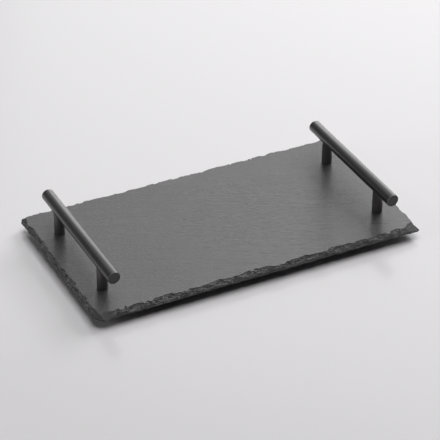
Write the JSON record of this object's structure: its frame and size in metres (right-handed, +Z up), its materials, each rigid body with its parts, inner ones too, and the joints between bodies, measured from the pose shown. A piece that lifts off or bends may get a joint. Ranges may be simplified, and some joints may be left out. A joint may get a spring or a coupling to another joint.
{
  "type": "slate serving board",
  "caption": "Rectangular slate serving board with a knapped edge, round bar handles on posts along its short sides, and rubber feet, for serving and carrying food.",
  "frame": {"origin": "on the table under the middle of the board, at the bottom of the feet", "axes": "+X to the right along the board's long side, +Y to the rear, +Z up"},
  "size_m": [0.327, 0.176, 0.046],
  "materials": {
    "slate": "riven charcoal slate, dry oiled, with a soft sheen",
    "handle_black": "satin black powder coat over steel",
    "plug_black": "matt black moulded plug",
    "plated_steel": "zinc plated steel",
    "washer_rubber": "black sheet rubber",
    "adhesive_pad": "grey adhesive foam tape",
    "foot_rubber": "matt black moulded rubber"
  },
  "bodies": {
    "root": {"left_front_end_plug": "plug_black", "left_front_foot": "foot_rubber", "left_front_foot_pad": "adhesive_pad", "left_front_post": "handle_black", "left_front_rubber_washer": "washer_rubber", "left_front_screw": "plated_steel", "left_front_steel_washer": "plated_steel", "left_handle_bar": "handle_black", "left_rear_end_plug": "plug_black", "left_rear_foot": "foot_rubber", "left_rear_foot_pad": "adhesive_pad", "left_rear_post": "handle_black", "left_rear_rubber_washer": "washer_rubber", "left_rear_screw": "plated_steel", "left_rear_steel_washer": "plated_steel", "right_front_end_plug": "plug_black", "right_front_foot": "foot_rubber", "right_front_foot_pad": "adhesive_pad", "right_front_post": "handle_black", "right_front_rubber_washer": "washer_rubber", "right_front_screw": "plated_steel", "right_front_steel_washer": "plated_steel", "right_handle_bar": "handle_black", "right_rear_end_plug": "plug_black", "right_rear_foot": "foot_rubber", "right_rear_foot_pad": "adhesive_pad", "right_rear_post": "handle_black", "right_rear_rubber_washer": "washer_rubber", "right_rear_screw": "plated_steel", "right_rear_steel_washer": "plated_steel", "slate_board": "slate"}
  },
  "joints": []
}
